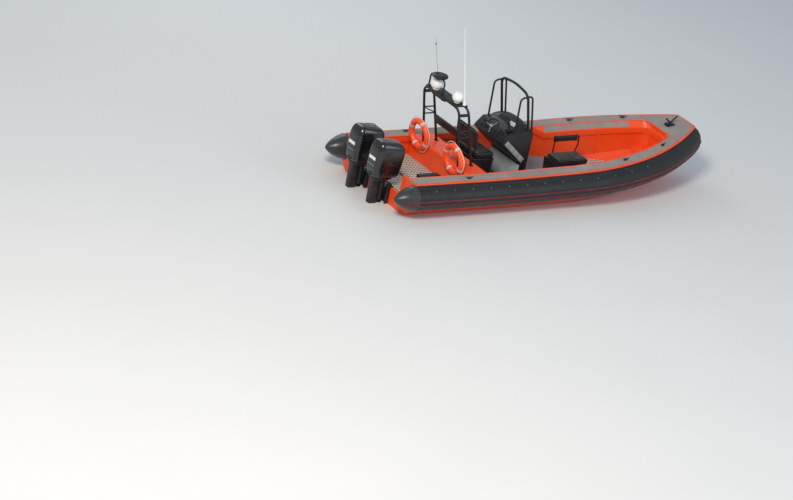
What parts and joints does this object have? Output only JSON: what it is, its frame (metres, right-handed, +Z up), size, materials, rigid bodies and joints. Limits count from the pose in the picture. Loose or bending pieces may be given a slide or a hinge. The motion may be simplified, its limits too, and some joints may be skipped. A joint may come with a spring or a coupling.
{
  "type": "inshore rescue boat",
  "caption": "Open rigid rescue boat with a black fender collar, outboard engines, equipment arch, helm console, seat and forward bench.",
  "frame": {"origin": "on the centreline at the waterline, in the plane of the transom's aft face", "axes": "+X towards the bow, +Y to port, +Z up"},
  "size_m": [8.2508, 2.9466, 4.6016],
  "materials": {
    "orange_grp": "gloss gel coat",
    "black_coating": "satin",
    "black_grp": "satin",
    "collar_skin": "matt coated fabric",
    "cone_skin": "matt",
    "maroon_strake": "matt",
    "antislip_pad": "matt, fine grain",
    "grating": "open grid",
    "white_plastic": "smooth",
    "lifebuoy_foam": "smooth moulded skin",
    "seat_vinyl": "soft grain",
    "engine_paint": "gloss",
    "wheel_grip": "matt"
  },
  "bodies": {
    "boat": {"hull": "orange_grp", "collar": "collar_skin", "cone_port": "cone_skin", "cone_starboard": "cone_skin", "strake_upper": "maroon_strake", "strake_lower": "maroon_strake", "walkway_port": "antislip_pad", "walkway_starboard": "antislip_pad", "bow_pad": "antislip_pad", "edge_pad_port": "antislip_pad", "edge_pad_starboard": "antislip_pad", "sole": "grating", "well_deck": "grating", "aft_locker": "orange_grp", "well_box": "black_grp", "arch_frame": "black_coating", "arch_panel": "black_grp", "arch_tray": "black_coating", "lamp_hoop": "black_coating", "disc_antenna": "black_grp", "dome_port": "white_plastic", "dome_starboard": "white_plastic", "mast_antenna": "white_plastic", "whip_antenna": "black_grp", "lifebuoy_port": "lifebuoy_foam", "lifebuoy_starboard": "lifebuoy_foam", "console": "black_grp", "handrail_frame": "black_coating", "seat_base": "black_grp", "seat_cushion": "seat_vinyl", "seat_frame": "black_coating", "seat_back": "seat_vinyl", "bench_base": "black_grp", "bench_cushion": "seat_vinyl", "bench_back": "seat_vinyl", "bow_bitt": "black_coating", "clamp_port": "engine_paint", "clamp_starboard": "engine_paint"},
    "helm": {"steering_wheel": "wheel_grip"},
    "tilt_port": {"swivel_port": "engine_paint"},
    "outboard_port": {"leg_port": "engine_paint", "cowl_port": "engine_paint"},
    "prop_port": {"propeller_port": "engine_paint"},
    "tilt_starboard": {"swivel_starboard": "engine_paint"},
    "outboard_starboard": {"leg_starboard": "engine_paint", "cowl_starboard": "engine_paint"},
    "prop_starboard": {"propeller_starboard": "engine_paint"}
  },
  "joints": [
    {"name": "tilt_port", "type": "hinge", "parent": "boat", "child": "tilt_port", "pos_m": [-0.045, 0.36, 0.4], "axis": [0, 1, 0], "range_deg": [0, 65]},
    {"name": "steer_port", "type": "hinge", "parent": "tilt_port", "child": "outboard_port", "pos_m": [-0.15, 0.36, 0.25], "axis": [0, 0, 1], "range_deg": [-30, 30]},
    {"name": "spin_port", "type": "hinge", "parent": "outboard_port", "child": "prop_port", "pos_m": [-0.658, 0.36, -0.695], "axis": [1, 0, 0], "continuous": true},
    {"name": "tilt_starboard", "type": "hinge", "parent": "boat", "child": "tilt_starboard", "pos_m": [-0.045, -0.36, 0.4], "axis": [0, 1, 0], "range_deg": [0, 65]},
    {"name": "steer_starboard", "type": "hinge", "parent": "tilt_starboard", "child": "outboard_starboard", "pos_m": [-0.15, -0.36, 0.25], "axis": [0, 0, 1], "range_deg": [-30, 30]},
    {"name": "spin_starboard", "type": "hinge", "parent": "outboard_starboard", "child": "prop_starboard", "pos_m": [-0.658, -0.36, -0.695], "axis": [1, 0, 0], "continuous": true},
    {"name": "wheel_turn", "type": "hinge", "parent": "boat", "child": "helm", "pos_m": [2.4677, 0, 1.2825], "axis": [-0.7295, 0, 0.6839], "range_deg": [-540, 540]}
  ],
  "couplings": [
    {"joint": "steer_starboard", "follows": "steer_port", "ratio": 1},
    {"joint": "wheel_turn", "follows": "steer_port", "ratio": -18}
  ]
}
